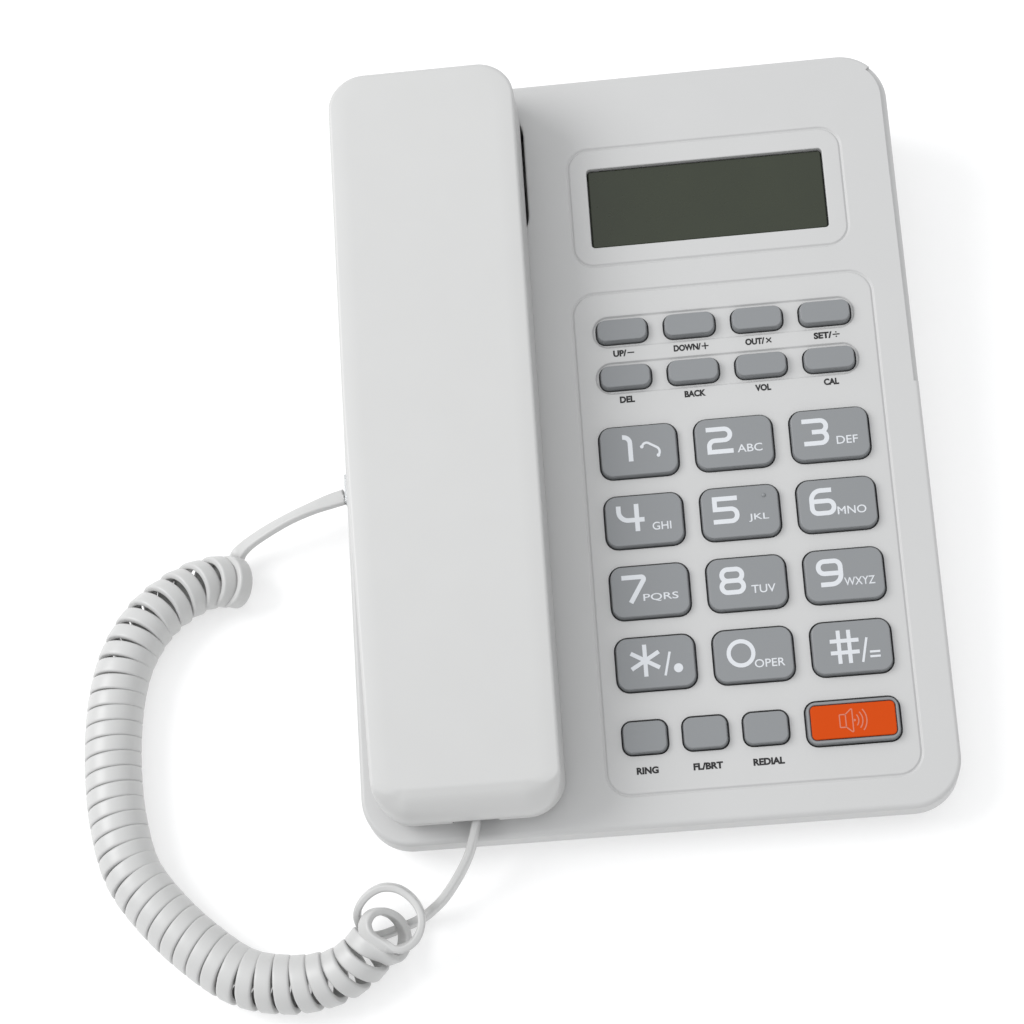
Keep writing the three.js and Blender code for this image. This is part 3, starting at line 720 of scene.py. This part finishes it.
def port_block(node):
    """The clear space round a socket, reaching out of the shell beside it."""
    margin = 0.0003
    low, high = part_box(node)
    low, high = low - Vector((margin,) * 3), high + Vector((margin,) * 3)
    if abs(low.x) > BASE_WIDTH / 2 - 0.02:
        low.x = -BASE_WIDTH / 2 - 0.005
    else:
        high.y = top_high.y + 0.005
    shape = Shape()
    loop = [(low.x, low.y), (high.x, low.y), (high.x, high.y), (low.x, high.y)]
    shape.prism([loop], low.z, high.z, lambda x, y, z: Vector((x, y, z)))
    return shape.mesh("port")


def add_base_top():
    data = boolean(base_outside(), [base_room(), port_block("base_cord_jack"), port_block("line_jack")])
    finished("base_top_cover", data, SHELL, "base", ["base_top_shell"])


add_base_top()

# Keys ------------------------------------------------------------------------------------

def key_body(shape, node):
    """A key without its flat top. Returns the top's rim and height."""
    size = key_size(node)
    low, high = deck_box(node)
    places = outline(**size, corner=key_corner(node), arc=8, run=3)
    edge = [(-(KEY_DRAFT + KEY_ROUND * inset), high.z - KEY_ROUND * drop) for inset, drop in quarter(5)]
    rings = shape.levels(places, [*edge, (0, 0.0), (0, KEY_SHOULDER), (KEY_FLANGE, KEY_SHOULDER),
                                  (KEY_FLANGE, low.z)])
    shape.loft(rings)
    shape.fill(rings[-1])
    return rings[0], high.z


def add_keys():
    for node in DIAL_NODES + FUNCTION_NODES + LOWER_NODES:
        shape = Shape()
        shape.fill(key_body(shape, node)[0])
        if node == "dial_key_5":
            add_tactile_dot(shape, node)
        finished(f"{node}_cap", shape.mesh(node), GREY, node, [node], KEY_SHARP)


def add_tactile_dot(shape, node):
    """The small dome on the middle key."""
    size = key_size(node)
    top = deck_box(node)[1].z
    place = near(size["x"] + 0.0062, size["v"] + 0.0038)
    radius, rise, sides = 0.0006, 0.0004, 16
    turns = [2 * math.pi * i / sides for i in range(sides)]
    rings = []
    for step in range(5):
        angle = step / 4 * math.pi / 2 * 0.92
        reach = radius * math.cos(angle)
        height = top - 0.0001 + (rise + 0.0001) * math.sin(angle)
        rings.append(shape.ring([place(reach * math.cos(t), reach * math.sin(t), height) for t in turns]))
    shape.close(rings)


def add_speaker_key():
    """The speaker key: a grey frame round an orange plate."""
    node = "speaker_key"
    plate_low, plate_high = deck_box("speaker_key_inlay")
    middle = (plate_low + plate_high) / 2
    size = plate_high - plate_low + Vector((PLATE_EXTRA, 0, 0))
    shape = Shape()
    rim, top = key_body(shape, node)
    pocket = outline(middle.x, middle.y, size.x + 0.0004, size.y + 0.0004, 0.0014, 6, 3)
    lip = 0.00015
    rings = shape.levels(pocket, [(lip, top), (0, top - lip), (0, plate_low.z - 0.0003)])
    shape.loft(rings)
    shape.fill(rings[-1])
    shape.fill(rim, rings[0])
    finished("speaker_key_frame", shape.mesh(node), GREY, node, [node], KEY_SHARP)

    plate = Shape()
    places = outline(middle.x, middle.y, size.x, size.y, 0.0012, 6, 3)
    top = plate_high.z
    plate.close(plate.levels(places, [(-0.0003, top), (-0.0001, top - 0.00006), (0, top - 0.0002),
                                      (0, plate_low.z)]))
    finished("speaker_key_plate", plate.mesh("plate"), ORANGE, node, ["speaker_key_inlay"],
             KEY_SHARP)


add_keys()
add_speaker_key()

# Legends ---------------------------------------------------------------------------------

STROKE = 0.0012  # width of a digit's strokes
DIGIT_W = 0.0055  # a digit's size between the middles of its strokes
DIGIT_H = 0.0060
LETTER_H = 0.0021  # height of the letters on the keys
LABEL_H = 0.0018  # and of the words on the deck
SIGN_REACH = 0.0009  # half a sign's width
SIGN_STROKE = 0.00032
SIGN_GAP = 0.0002  # between a word and its sign
ICON_STROKE = 0.0003
INK_DEPTH = 0.00004  # how far a print goes in and out of its surface


def bent(points, close=False):
    """A line through (x, y, radius) corners, each corner rounded by its radius."""
    made = []
    count = len(points)
    for i, (x, y, radius) in enumerate(points):
        here = Vector((x, y))
        if radius <= 0 or (not close and i in (0, count - 1)):
            made.append(here)
            continue
        before = Vector(points[(i - 1) % count][:2])
        after = Vector(points[(i + 1) % count][:2])
        to_before, to_after = (before - here).normalized(), (after - here).normalized()
        half = to_before.angle(to_after) / 2
        reach = radius / math.tan(half)
        middle = here + (to_before + to_after).normalized() * (radius / math.sin(half))
        start = here + to_before * reach - middle
        end = here + to_after * reach - middle
        turn = -start.angle_signed(end)
        steps = 8
        for step in range(steps + 1):
            angle = turn * step / steps
            c, s = math.cos(angle), math.sin(angle)
            made.append(middle + Vector((start.x * c - start.y * s, start.x * s + start.y * c)))
    return made


def stroke_loops(line, width, close=False):
    """The outline of a stroke of constant width along a line: one loop, or two where it closes."""
    count = len(line)
    left, right = [], []
    for i, here in enumerate(line):
        before = line[(i - 1) % count] if close or i > 0 else None
        after = line[(i + 1) % count] if close or i < count - 1 else None
        ways = []
        if before is not None and (here - before).length > 1e-9:
            ways.append((here - before).normalized())
        if after is not None and (after - here).length > 1e-9:
            ways.append((after - here).normalized())
        mean = sum(ways, Vector((0, 0))).normalized()
        across = Vector((-mean.y, mean.x))
        reach = width / 2 / max(0.35, abs(across.dot(Vector((-ways[0].y, ways[0].x)))))
        left.append(here + across * reach)
        right.append(here - across * reach)
    return [left, right] if close else [left + right[::-1]]


def circle(x, y, radius, sides=28):
    turns = [2 * math.pi * i / sides for i in range(sides)]
    return [Vector((x + radius * math.cos(t), y + radius * math.sin(t))) for t in turns]


def digit_strokes(name):
    """The strokes of a digit, from its lower left corner: (line, closed, width)."""
    w, h, r = DIGIT_W, DIGIT_H, 0.0015
    mid = h / 2
    shapes = {
        "1": [([(0.0024, h, 0), (0.0043, h, 0.0017), (0.0043, -STROKE / 2, 0)], False)],
        "2": [([(-STROKE / 2, h, 0), (w, h, r), (w, mid, r), (0, mid, r), (0, 0, 0),
                (w + STROKE / 2, 0, 0)], False)],
        "3": [([(-STROKE / 2, h, 0), (w, h, r), (w, mid, r), (0.0018, mid, 0)], False),
              ([(0.0018, mid, 0), (w, mid, r), (w, 0, r), (-STROKE / 3, 0, 0)], False)],
        "4": [([(0, h + STROKE / 4, 0), (0, 0.0024, 0.0024), (w + 0.0010, 0.0024, 0)], False),
              ([(w - 0.0009, h + STROKE / 2, 0), (w - 0.0009, -STROKE / 2, 0)], False)],
        "5": [([(w + STROKE / 4, h, 0), (0, h, 0), (0, 0.54 * h, 0), (w, 0.54 * h, r), (w, 0, r),
                (-STROKE / 2, 0, 0)], False)],
        "6": [([(w - 0.0003, h, 0), (0, h, 0.0024), (0, 0, r), (w / 2, 0, 0)], False),
              ([(w / 2 - 0.0003, 0, 0), (w, 0, r), (w, 0.53 * h, r), (0, 0.53 * h, 0)], False)],
        "7": [([(-STROKE / 2, h, 0), (w, h, 0.0006), (0.0014, -STROKE / 2, 0)], False)],
        "8": [([(0.0002, mid, r), (w - 0.0002, mid, r), (w - 0.0002, h, r), (0.0002, h, r)], True),
              ([(0, 0, r), (w, 0, r), (w, mid, r), (0, mid, r)], True)],
        "9": [([(0.0003, 0, 0), (w, 0, 0.0024), (w, h, r), (w / 2, h, 0)], False),
              ([(w / 2 + 0.0003, h, 0), (0, h, r), (0, 0.47 * h, r), (w, 0.47 * h, 0)], False)],
    }
    return [(bent(points, close), close, STROKE) for points, close in shapes[name]]


def key_marks(name):
    """Every stroke on a dial key, relative to its middle."""
    left, low = -0.0064, -0.0023
    if name in "123456789":
        strokes = [([point + Vector((left, low)) for point in line], close, width)
                   for line, close, width in digit_strokes(name)]
        if name == "1":
            line = bent([(0.0009, 0.0008, 0), (0.0017, 0.0022, 0.0011), (0.0060, -0.0004, 0.0014),
                         (0.0050, -0.0018, 0)])
            strokes.append((line, False, 0.0006))
            strokes += [(circle(end.x, end.y, 0.00024, 12), True, 0.00046) for end in (line[0], line[-1])]
        return strokes
    if name == "0":
        return [(circle(-0.0031, 0.0005, 0.0031), True, 0.00105)]
    if name == "star":
        middle = Vector((-0.0026, 0.0006))
        strokes = []
        for turn in (90, 30, 150):
            arm = Vector((math.cos(math.radians(turn)), math.sin(math.radians(turn)))) * 0.0041
            strokes.append(([middle - arm, middle + arm], False, 0.00105))
        strokes.append(([Vector((0.0022, -0.0036)), Vector((0.0037, 0.0024))], False, 0.0006))
        strokes.append((circle(0.0056, -0.0019, 0.0006), True, 0.0011))
        return strokes
    bars = [([Vector((x, -0.0042)), Vector((x, 0.0043))], False, 0.001) for x in (-0.0032, -0.0006)]
    bars += [([Vector((-0.0054, v)), Vector((0.0018, v))], False, 0.001) for v in (-0.0014, 0.0016)]
    bars.append(([Vector((0.0024, -0.0042)), Vector((0.0038, 0.0020))], False, 0.0006))
    bars += [([Vector((0.0043, v)), Vector((0.0069, v))], False, 0.00055) for v in (-0.0017, -0.0029)]
    return bars


def write(shape, words, place, n, height, width, weight):
    """Adds a flat text with capitals of that height, centred on its place."""
    curve = bpy.data.curves.new("words", "FONT")
    curve.body = words
    curve.size = 1.0
    curve.resolution_u = 4
    curve.extrude = 0.02
    curve.offset = weight
    writing = new_object("words", curve)
    data = evaluated(writing)
    bpy.data.objects.remove(writing)
    points = [vertex.co.copy() for vertex in data.vertices]
    faces = [tuple(polygon.vertices) for polygon in data.polygons]
    bpy.data.meshes.remove(data)
    low = Vector((min(p.x for p in points), min(p.y for p in points)))
    high = Vector((max(p.x for p in points), max(p.y for p in points)))
    tall, broad = height / (high.y - low.y), width / (high.x - low.x)
    middle = (low + high) / 2
    shape.add([place((p.x - middle.x) * broad, (p.y - middle.y) * tall, n + p.z / 0.02 * INK_DEPTH)
               for p in points], faces)


def draw(shape, lines, top, place):
    """Adds strokes, given as (line, closed, width), each a little higher than the last."""
    for index, (line, close, width) in enumerate(lines):
        high = top + INK_DEPTH * (1 + 0.2 * index)
        shape.prism(stroke_loops(line, width, close), top - INK_DEPTH, high, place)


LETTERS = {"2": "ABC", "3": "DEF", "4": "GHI", "5": "JKL", "6": "MNO", "7": "PQRS", "8": "TUV",
           "9": "WXYZ", "0": "OPER"}
# Where the letters start and end, from the middle of their key.
LETTER_SPAN = {"2": (0.0007, 0.0071), "3": (0.0015, 0.0069), "4": (0.0020, 0.0068), "5": (0.0020, 0.0071),
               "6": (-0.0001, 0.0072), "7": (-0.0018, 0.0071), "8": (0.0010, 0.0071), "9": (-0.0002, 0.0075),
               "0": (0.0001, 0.0077)}


def add_dial_legends():
    for name in DIAL_KEYS:
        node = f"dial_key_{name}"
        size = key_size(node)
        top = deck_box(node)[1].z
        shape = Shape()
        draw(shape, key_marks(name), top, near(size["x"], size["v"]))
        if name in LETTERS:
            left, right = LETTER_SPAN[name]
            low = -0.0034 if name == "0" else -0.0029
            place = near(size["x"] + (left + right) / 2, size["v"] + low + 0.001)
            write(shape, LETTERS[name], place, top, LETTER_H, right - left, 0.008)
        finished(f"{node}_legend", shape.mesh(node), LEGEND, node, weighted=False)


# Words on the deck, their width, and the sum sign that follows.
DECK_LABELS = {
    "up_key": ("UP/", 0.0035, "-"), "down_key": ("DOWN/", 0.0071, "+"), "out_key": ("OUT/", 0.0050, "x"),
    "set_key": ("SET/", 0.0047, ":"), "delete_key": ("DEL", 0.0039, ""), "back_key": ("BACK", 0.0055, ""),
    "volume_key": ("VOL", 0.0041, ""), "calculator_key": ("CAL", 0.0039, ""),
    "ring_key": ("RING", 0.0055, ""), "flash_key": ("FL/BRT", 0.0074, ""),
    "redial_key": ("REDIAL", 0.0078, ""),
}


def add_deck_labels():
    """The function names printed on the deck under their keys."""
    shape = Shape()
    for node, (words, width, sign) in DECK_LABELS.items():
        size = key_size(node)
        v = size["v"] - (0.0083 if node in LOWER_NODES else 0.0060)
        room = 2 * SIGN_REACH + SIGN_GAP if sign else 0
        write(shape, words, near(size["x"] - room / 2, v), 0.0, LABEL_H, width, 0.048)
        add_sign(shape, sign, near(size["x"] + width / 2 + SIGN_GAP / 2, v))
    finished("deck_labels", shape.mesh("labels"), INK, "base", weighted=False)


def add_sign(shape, sign, place):
    """One of the four sums' signs."""
    level, upright = Vector((1, 0)), Vector((0, 1))
    bars = {"": [], "-": [level], ":": [level], "+": [level, upright],
            "x": [level + upright, level - upright]}
    ends = [bar.normalized() * SIGN_REACH for bar in bars[sign]]
    draw(shape, [([-end, end], False, SIGN_STROKE) for end in ends], 0.0, place)
    if sign == ":":
        for rise in (-0.0006, 0.0006):
            shape.prism([circle(0, rise, 0.0002, 12)], -INK_DEPTH, INK_DEPTH, place)


def add_speaker_icon():
    """A loudspeaker with three sound waves."""
    middle, high = deck_middle("speaker_key_inlay"), deck_box("speaker_key_inlay")[1].z
    horn = [(-0.0034, 0.0016, 0.0002), (-0.0019, 0.0016, 0.0002), (-0.0002, 0.0031, 0.0002)]
    horn += [(x, -y, radius) for x, y, radius in reversed(horn)]
    lines = [(bent(horn, True), True), ([Vector((-0.0019, -0.0016)), Vector((-0.0019, 0.0016))], False)]
    for reach in (0.0021, 0.0031, 0.0041):
        turns = [math.radians(40) * (2 * i / 10 - 1) for i in range(11)]
        lines.append(([Vector((-0.0008 + reach * math.cos(t), reach * math.sin(t))) for t in turns], False))
    shape = Shape()
    place = near(middle.x, middle.y)
    for line, close in lines:
        draw(shape, [(line, close, ICON_STROKE)], high, place)
    shape.prism([circle(0.0003, 0, 0.0003, 12)], high - INK_DEPTH, high + INK_DEPTH, place)
    finished("speaker_icon", shape.mesh("icon"), ICON, "speaker_key", weighted=False)


add_dial_legends()
add_deck_labels()
add_speaker_icon()

# Handset ---------------------------------------------------------------------------------

SEAM = [(0.00025, 0), (0.000075, 0.000075), (0, 0.00025)]  # inset and drop of the seam's edges


def handset_size():
    """Corners and middle of the handset's body; its lower end reaches a little past the seam."""
    low, high = deck_box("handset_back_shell")
    low.y -= HANDSET_REACH
    return low, high, (low + high) / 2


def handset_places(arc, run):
    """The handset's outline, which narrows on the outer side towards the mouthpiece."""
    low, high, middle = handset_size()
    made = []
    for point, out in outline(middle.x, middle.y, high.x - low.x, high.y - low.y, HANDSET_CORNER, arc, run):
        share = max(0.0, (middle.x - point.x) / (high.x - low.x) * 2)
        made.append((Vector((point.x + 0.021 * share * max(0.0, 0.01 - point.y), point.y)), out))
    return made


def handset_top(v, high):
    """Height of the back's surface: it droops a little towards the mouthpiece."""
    return high - 0.7 * max(0.0, -0.03 - v) ** 2


def handset_profile(out):
    """Inset and drop across the back's edge: a faint shoulder, then a round that is long at the end."""
    front, rear = smoothstep(-out.y), smoothstep(out.y)
    across, down = 0.0009 + 0.0055 * front + 0.0006 * rear, 0.0009 + 0.0096 * front + 0.0006 * rear
    shoulder, fall = 0.0045 - 0.0033 * front, 0.0003
    steps = [(across + shoulder * (1 - share), fall * share ** 2) for share in (0, 0.25, 0.5, 0.75)]
    first = math.radians(10)
    for step in range(13):
        angle = first + step / 12 * (math.pi / 2 - first)
        inset = across * (1 - math.sin(angle)) / (1 - math.sin(first))
        steps.append((inset, fall + down * (math.cos(first) - math.cos(angle)) / math.cos(first)))
    return steps


def add_handset_back():
    """The handset's upper shell."""
    low, high, middle = handset_size()
    shape = Shape()
    places = handset_places(16, 24)
    rings = shape.sweep(places, [handset_profile(out) for _, out in places],
                        lambda x, v, drop: on_deck(x, v, handset_top(v, high.z) - drop))
    rings += shape.levels(places, [(-inset, HANDSET_SPLIT + rise) for inset, rise in reversed(SEAM)])
    shape.loft(rings)
    shape.fill(rings[-1])
    add_crown(shape, rings[0])
    room = block(middle.x + 0.001, middle.y + 0.004, high.x - low.x - 2 * HANDSET_WALL - 0.002,
                 high.y - low.y - 2 * HANDSET_WALL - 0.008, HANDSET_CORNER - HANDSET_WALL,
                 HANDSET_SPLIT - 0.01, high.z - 0.0045)
    data = boolean(shape.mesh("handset_back"), [room, handset_notch()])
    finished("handset_back_cover", data, HANDSET, "handset", ["handset_back_shell"])


def add_crown(shape, rim):
    """Fills a rim that bends only along v, in strips across."""
    places = {index: (shape.points[index] - DECK_ORIGIN).dot(UPHILL) for index in rim}
    same_row = 0.000004
    rows, last = [], None
    for index in sorted(rim, key=places.get):
        if last is None or places[index] - last > same_row:
            rows.append([])
        rows[-1].append(index)
        last = places[index]
    across = [sorted(row, key=lambda i: shape.points[i].x) for row in rows]
    for lower, upper in zip(across, across[1:]):
        shape.faces.append((*lower, *reversed(upper)))


def handset_notch():
    """The opening through the end of the handset where the cord goes in."""
    low, high = deck_box("handset_cord_jack")
    end = deck_box("handset_back_shell")[0].y
    margin = 0.0003
    return block((low.x + high.x) / 2, end, high.x - low.x + 2 * margin, 2 * (high.y - end), 0.0006, -0.03,
                 high.z + margin)


def add_handset_front():
    """The handset's lower shell with the ear cup, the mouth cup and their sound holes."""
    node = "handset_front_shell"
    top = deck_box(node)[1].z
    low, high, middle = handset_size()
    floor = 0.0006
    shape = Shape()
    places = handset_places(12, 10)
    rings = shape.levels(places, [(-inset, top - drop) for inset, drop in SEAM])
    profiles = []
    for _, out in places:
        front = smoothstep(-out.y)
        profiles.append([((0.0012 + 0.0012 * front) * drop, (0.0012 + 0.0050 * front) * inset)
                         for inset, drop in quarter(7)])
    rings += shape.sweep(places, profiles, lambda x, v, rise: on_deck(x, v, floor + rise))
    shape.loft(rings)
    shape.fill(rings[0])
    cup_rims = []
    cups = [(EAR_V, 0.0484, 0.0356, -0.0094), (MOUTH_V, 0.0374, 0.0348, -0.0074)]
    for v, width, depth, face in cups:
        cup = outline(middle.x, v, width, depth, 0.007, 10, 4)
        edge = 0.0022
        turn = [(-edge * drop, face + edge * inset) for inset, drop in quarter(5)]
        cup_rings = shape.levels(cup, [(0, floor), *turn, (-0.006, face + 0.0008)])
        shape.loft(cup_rings)
        shape.fill(cup_rings[-1])
        cup_rims.append(cup_rings[0])
    shape.fill(rings[-1], *cup_rims)
    rooms = [block(middle.x + 0.001, middle.y + 0.001, high.x - low.x - 2 * HANDSET_WALL - 0.002,
                   high.y - low.y - 2 * HANDSET_WALL - 0.006, HANDSET_CORNER - HANDSET_WALL,
                   floor + 0.002, 0.02)]
    for v, width, depth, face in cups:
        rooms.append(block(middle.x, v, width - 0.004, depth - 0.004, 0.005, face + 0.003, 0.015))
    holes = [rod(on_deck(middle.x + dx, EAR_V + dy, -0.008), 0.0009, 0.012, 16)
             for dx in (-0.005, 0, 0.005) for dy in (-0.005, 0, 0.005)]
    holes += [rod(on_deck(middle.x + dx, MOUTH_V, -0.006), 0.0009, 0.012, 16) for dx in (-0.004, 0, 0.004)]
    for index in (1, 2):
        centre = deck_middle(f"handset_screw_{index}")
        holes.append(rod(on_deck(centre.x, centre.y, floor), 0.003, 0.006, 24))
    data = boolean(shape.mesh("handset_front"), [*rooms, *holes, handset_notch()])
    finished("handset_front_cover", data, HANDSET, "handset", [node])


add_handset_back()
add_handset_front()

# Display ---------------------------------------------------------------------------------

def add_display():
    """The dark glass, a little below the deck, with the flange that holds it."""
    low = deck_box("display_window")[0].z
    shape = Shape()
    places = display_outline(-0.0002, 0.0007, 2)
    flange = low + 0.0003
    shape.close(shape.levels(places, [(-0.0002, -0.0011), (0, -0.0013), (0, flange), (LENS_FLANGE, flange),
                                      (LENS_FLANGE, low)]))
    finished("display_glass", shape.mesh("display"), PANEL, "base", ["display_window"])


add_display()

# Carried-over CAD nodes ------------------------------------------------------------------

NODE_FINISH = {
    "base_bottom_shell": (SHELL, "shell_plastic"), "battery_cover": (SHELL, "shell_plastic"),
    "display_panel": (PANEL, "display_panel"), "main_circuit_board": (BOARD, "circuit_board"),
    "keypad_membrane": (SILICONE, "silicone_mat"), "loudspeaker": (DARK, "dark_plastic"),
    "hook_plunger": (SHELL, "shell_plastic"), "hook_switch": (DARK, "dark_plastic"),
    "base_cord_jack": (DARK, "dark_plastic"), "line_jack": (DARK, "dark_plastic"),
    "base_cord_plug": (CLEAR, "clear_plastic"), "handset_cord_plug": (CLEAR, "clear_plastic"),
    "handset_cord_jack": (DARK, "dark_plastic"), "earpiece_speaker": (DARK, "dark_plastic"),
    "microphone": (STEEL, "screw_steel"), "handset_weight": (STEEL, "screw_steel"),
}


def finish_nodes():
    """Gives the CAD nodes that stay visible a look and soft edges."""
    for name, node in frame["nodes"].items():
        if name.startswith("rubber_foot"):
            look, slot = RUBBER, "foot_rubber"
        elif "screw" in name:
            look, slot = STEEL, "screw_steel"
        elif name in NODE_FINISH:
            look, slot = NODE_FINISH[name]
        else:
            continue
        node.data.materials.clear()
        node.data.materials.append(look)
        softened = node.modifiers.new("edges", "BEVEL")
        softened.width = 0.0002
        softened.segments = 2
        softened.limit_method = "ANGLE"
        softened.angle_limit = KEY_SHARP


finish_nodes()

# Stage -----------------------------------------------------------------------------------

def add_floor():
    """A wide sheet of white paper, which glows a little, as overexposed paper does."""
    size = 6.0
    corners = [(-size, -size, 0), (size, -size, 0), (size, size, 0), (-size, size, 0)]
    data = bpy.data.meshes.new("floor")
    data.from_pydata(corners, [], [(0, 1, 2, 3)])
    paper = material("floor_paper", (0.6, 0.6, 0.6), 0.9, mottle=0.004, grain=0.0, Specular_IOR_Level=0.1,
                     Emission_Color=(1, 1, 1, 1), Emission_Strength=0.45)
    data.materials.append(paper)
    new_object("floor", data)


def add_light(name, place, target, size, power):
    data = bpy.data.lights.new(name, "AREA")
    data.shape = "DISK"
    data.size = size
    data.energy = power
    lamp = new_object(name, data)
    lamp.location = place
    lamp.rotation_mode = "QUATERNION"
    lamp.rotation_quaternion = (Vector(target) - Vector(place)).to_track_quat("-Z", "Y")


def add_world():
    """A pale room, brighter overhead than near the table."""
    world = bpy.data.worlds.new("studio")
    world.use_nodes = True
    nodes, links = world.node_tree.nodes, world.node_tree.links
    background = nodes["Background"]
    background.inputs["Color"].default_value = (0.98, 0.99, 1.0, 1)
    places = nodes.new("ShaderNodeTexCoord")
    parts = nodes.new("ShaderNodeSeparateXYZ")
    fade = nodes.new("ShaderNodeMapRange")
    fade.inputs["To Min"].default_value = 0.42
    fade.inputs["To Max"].default_value = 1.12
    links.new(places.outputs["Generated"], parts.inputs["Vector"])
    links.new(parts.outputs["Z"], fade.inputs["Value"])
    links.new(fade.outputs["Result"], background.inputs["Strength"])
    bpy.context.scene.world = world


def add_stage():
    add_floor()
    add_world()
    add_light("key_light", (-0.95, 0.25, 0.95), (-0.02, 0, 0.02), 0.85, 10)
    bpy.context.scene.view_settings.view_transform = "Standard"


add_stage()
